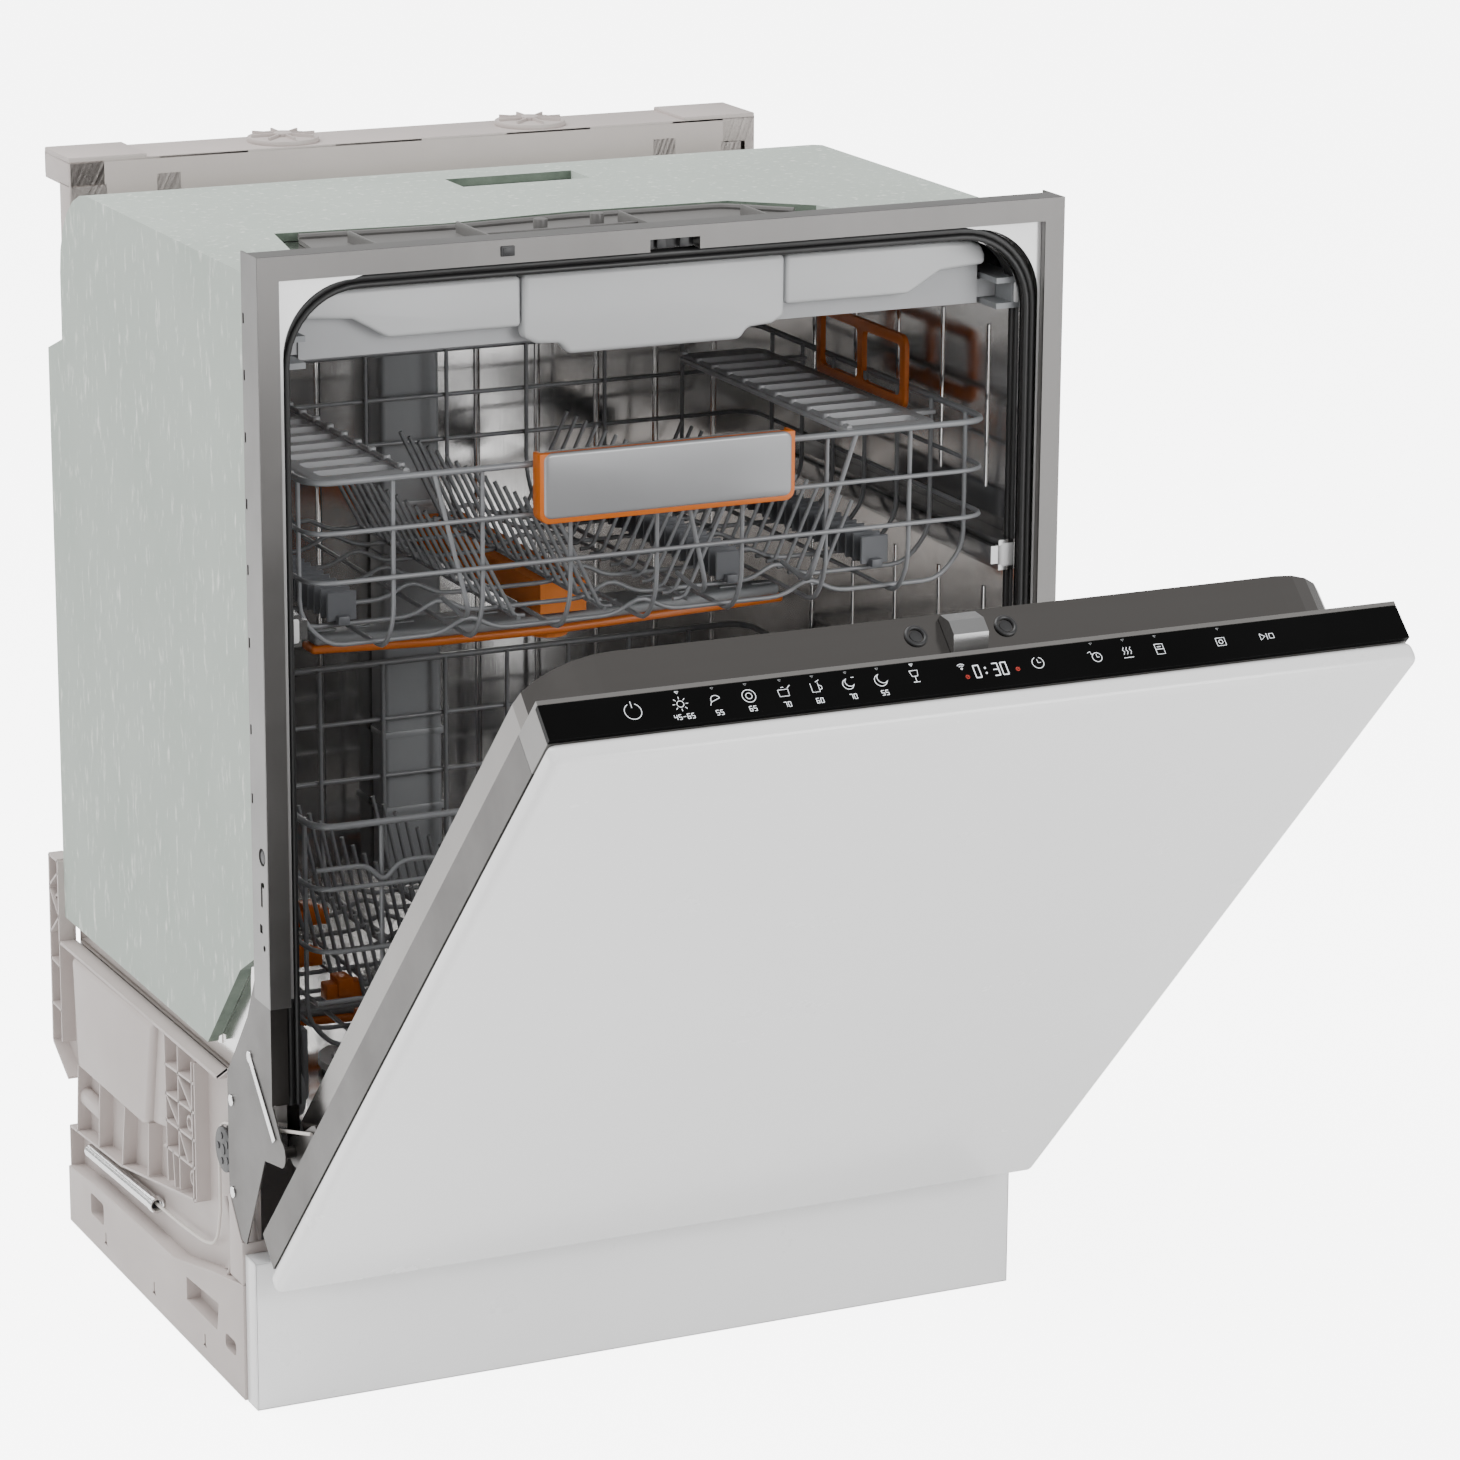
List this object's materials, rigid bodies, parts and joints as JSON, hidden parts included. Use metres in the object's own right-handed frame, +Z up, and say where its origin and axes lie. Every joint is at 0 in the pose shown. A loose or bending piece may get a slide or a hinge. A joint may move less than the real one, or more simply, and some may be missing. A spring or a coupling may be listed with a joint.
{
  "type": "built-in dishwasher",
  "caption": "Built-in dishwasher with its furniture-panel door part open on balance springs, two sliding baskets, a cutlery tray and turning spray arms.",
  "frame": {"origin": "on the floor, in the middle of the cabinet base", "axes": "+Z up, +X to the right seen from the front, +Y towards the back"},
  "size_m": [0.598, 0.9845, 0.8243],
  "materials": {
    "tub_steel": "bright polished stainless steel",
    "liner_steel": "bright polished stainless steel",
    "frame_steel": "satin grey coated steel",
    "shell_steel": "satin galvanised sheet",
    "slide_steel": "drawn stainless section",
    "spring_steel": "bright plated spring with a pale cord",
    "seal_rubber": "matte black rubber",
    "felt": "pale grey-green fibre felt",
    "base_plastic": "beige moulded plastic",
    "grey_plastic": "mid grey moulded plastic",
    "white_plastic": "white plastic",
    "dark_plastic": "black plastic",
    "kick_white": "white coated sheet steel",
    "panel_white": "white lacquered board",
    "light_plastic": "light grey moulded plastic",
    "strip_glass": "polished black",
    "handle_silver": "silver-grey plastic",
    "accent_orange": "orange plastic",
    "rack_wire": "grey nylon-coated wire"
  },
  "bodies": {
    "cabinet": {"base_pan": "base_plastic", "base_side_left": "base_plastic", "base_side_right": "base_plastic", "kick_plate": "kick_white", "tub": "tub_steel", "front_frame": "frame_steel", "door_gasket": "seal_rubber", "insulation_blanket": "felt", "rear_brace": "base_plastic", "latch_module": "grey_plastic", "hinge_bracket_left": "shell_steel", "hinge_bracket_right": "shell_steel", "door_spring_left": "spring_steel", "door_spring_right": "spring_steel", "sump": "grey_plastic", "wash_pump": "dark_plastic", "drain_pump": "dark_plastic", "water_softener": "grey_plastic", "supply_duct": "grey_plastic", "upper_rail_left": "slide_steel", "upper_rail_right": "slide_steel", "tray_track_left": "grey_plastic", "tray_track_right": "grey_plastic"},
    "door": {"furniture_panel": "panel_white", "outer_sheet": "shell_steel", "control_housing": "light_plastic", "control_strip": "strip_glass", "door_liner": "liner_steel", "door_striker": "grey_plastic", "dispenser_body": "grey_plastic", "hinge_arm_left": "shell_steel", "hinge_arm_right": "shell_steel"},
    "upper_basket": {"upper_rack": "rack_wire", "upper_handle": "handle_silver", "upper_slider_left": "slide_steel", "upper_slider_right": "slide_steel", "spray_inlet": "accent_orange"},
    "tray": {"cutlery_tray": "grey_plastic", "tray_fascia": "light_plastic"},
    "lower_basket": {"lower_rack": "rack_wire", "lower_handle": "handle_silver"},
    "front_foot_left": {"foot_front_left": "dark_plastic"},
    "front_foot_right": {"foot_front_right": "dark_plastic"},
    "rear_foot": {"foot_rear": "dark_plastic"},
    "filter": {"filter_cylinder": "grey_plastic"},
    "salt_lid": {"salt_cap": "white_plastic"},
    "pulley_left": {"cord_pulley_left": "dark_plastic"},
    "pulley_right": {"cord_pulley_right": "dark_plastic"},
    "lower_arm": {"lower_spray_arm": "grey_plastic"},
    "upper_arm": {"upper_spray_arm": "grey_plastic"},
    "detergent_lid": {"dispenser_lid": "grey_plastic"},
    "rinse_lid": {"rinse_cap": "grey_plastic"},
    "lever_left": {"lift_lever_left": "accent_orange"},
    "lever_right": {"lift_lever_right": "accent_orange"},
    "shelf_left": {"cup_shelf_left": "grey_plastic"},
    "shelf_right": {"cup_shelf_right": "grey_plastic"},
    "wheel_front_left": {"rack_wheel_front_left": "dark_plastic"},
    "wheel_front_right": {"rack_wheel_front_right": "dark_plastic"},
    "wheel_rear_left": {"rack_wheel_rear_left": "dark_plastic"},
    "wheel_rear_right": {"rack_wheel_rear_right": "dark_plastic"}
  },
  "joints": [
    {"name": "door_swing", "type": "hinge", "parent": "cabinet", "child": "door", "pos_m": [0, -0.2604, 0.2105], "axis": [1, 0, 0], "range_deg": [-43.8, 46.2], "deforming": ["door_spring_left", "door_spring_right"]},
    {"name": "tray_slide", "type": "slide", "parent": "cabinet", "child": "tray", "axis": [0, -1, 0], "range_m": [0, 0.3]},
    {"name": "upper_basket_slide", "type": "slide", "parent": "cabinet", "child": "upper_basket", "axis": [0, -1, 0], "range_m": [0, 0.24]},
    {"name": "lower_basket_slide", "type": "slide", "parent": "cabinet", "child": "lower_basket", "axis": [0, -1, 0], "range_m": [0, 0.04]},
    {"name": "front_foot_left_screw", "type": "slide", "parent": "cabinet", "child": "front_foot_left", "axis": [0, 0, -1], "range_m": [0, 0.05]},
    {"name": "front_foot_right_screw", "type": "slide", "parent": "cabinet", "child": "front_foot_right", "axis": [0, 0, -1], "range_m": [0, 0.05]},
    {"name": "rear_foot_screw", "type": "slide", "parent": "cabinet", "child": "rear_foot", "axis": [0, 0, -1], "range_m": [0, 0.05]},
    {"name": "lower_arm_spin", "type": "hinge", "parent": "cabinet", "child": "lower_arm", "pos_m": [0, -0.015, 0.2148], "axis": [0, 0, 1], "continuous": true},
    {"name": "upper_arm_spin", "type": "hinge", "parent": "upper_basket", "child": "upper_arm", "pos_m": [0, -0.03, 0.496], "axis": [0, 0, 1], "continuous": true},
    {"name": "filter_twist", "type": "hinge", "parent": "cabinet", "child": "filter", "pos_m": [0.075, -0.015, 0.196], "axis": [0, 0, 1], "range_deg": [0, 30]},
    {"name": "salt_lid_twist", "type": "hinge", "parent": "cabinet", "child": "salt_lid", "pos_m": [-0.17, -0.09, 0.2035], "axis": [0, 0, 1], "range_deg": [0, 90]},
    {"name": "detergent_lid_swing", "type": "hinge", "parent": "door", "child": "detergent_lid", "pos_m": [0, -0.46585, 0.43052], "axis": [-1, 0, 0], "range_deg": [0, 90]},
    {"name": "rinse_lid_twist", "type": "hinge", "parent": "door", "child": "rinse_lid", "pos_m": [0.055, -0.50092, 0.46478], "axis": [0, 0.7218, 0.6921], "range_deg": [0, 90]},
    {"name": "lever_left_press", "type": "hinge", "parent": "upper_basket", "child": "lever_left", "pos_m": [-0.2524, -0.0325, 0.649], "axis": [0, 1, 0], "range_deg": [0, 8], "stiffness_Nm_per_rad": 2},
    {"name": "shelf_left_fold", "type": "hinge", "parent": "upper_basket", "child": "shelf_left", "pos_m": [-0.2523, -0.04, 0.655], "axis": [0, -1, 0], "range_deg": [0, 60]},
    {"name": "pulley_left_turn", "type": "hinge", "parent": "cabinet", "child": "pulley_left", "pos_m": [-0.2904, -0.1375, 0.172], "axis": [1, 0, 0], "range_deg": [-130, 135]},
    {"name": "lever_right_press", "type": "hinge", "parent": "upper_basket", "child": "lever_right", "pos_m": [0.2524, -0.0325, 0.649], "axis": [0, -1, 0], "range_deg": [0, 8], "stiffness_Nm_per_rad": 2},
    {"name": "shelf_right_fold", "type": "hinge", "parent": "upper_basket", "child": "shelf_right", "pos_m": [0.2523, -0.04, 0.655], "axis": [0, 1, 0], "range_deg": [0, 60]},
    {"name": "pulley_right_turn", "type": "hinge", "parent": "cabinet", "child": "pulley_right", "pos_m": [0.2904, -0.1375, 0.172], "axis": [1, 0, 0], "range_deg": [-130, 135]},
    {"name": "wheel_front_left_turn", "type": "hinge", "parent": "lower_basket", "child": "wheel_front_left", "pos_m": [-0.2515, -0.165, 0.2184], "axis": [1, 0, 0], "range_deg": [0, 130]},
    {"name": "wheel_front_right_turn", "type": "hinge", "parent": "lower_basket", "child": "wheel_front_right", "pos_m": [0.2515, -0.165, 0.2184], "axis": [1, 0, 0], "range_deg": [0, 130]},
    {"name": "wheel_rear_left_turn", "type": "hinge", "parent": "lower_basket", "child": "wheel_rear_left", "pos_m": [-0.2515, 0.085, 0.2184], "axis": [1, 0, 0], "range_deg": [0, 130]},
    {"name": "wheel_rear_right_turn", "type": "hinge", "parent": "lower_basket", "child": "wheel_rear_right", "pos_m": [0.2515, 0.085, 0.2184], "axis": [1, 0, 0], "range_deg": [0, 130]}
  ],
  "couplings": [
    {"joint": "pulley_left_turn", "follows": "door_swing", "ratio": 2.8},
    {"joint": "pulley_right_turn", "follows": "door_swing", "ratio": 2.8},
    {"joint": "wheel_front_left_turn", "follows": "lower_basket_slide", "rad_per_m": 55.556},
    {"joint": "wheel_front_right_turn", "follows": "lower_basket_slide", "rad_per_m": 55.556},
    {"joint": "wheel_rear_left_turn", "follows": "lower_basket_slide", "rad_per_m": 55.556},
    {"joint": "wheel_rear_right_turn", "follows": "lower_basket_slide", "rad_per_m": 55.556}
  ]
}
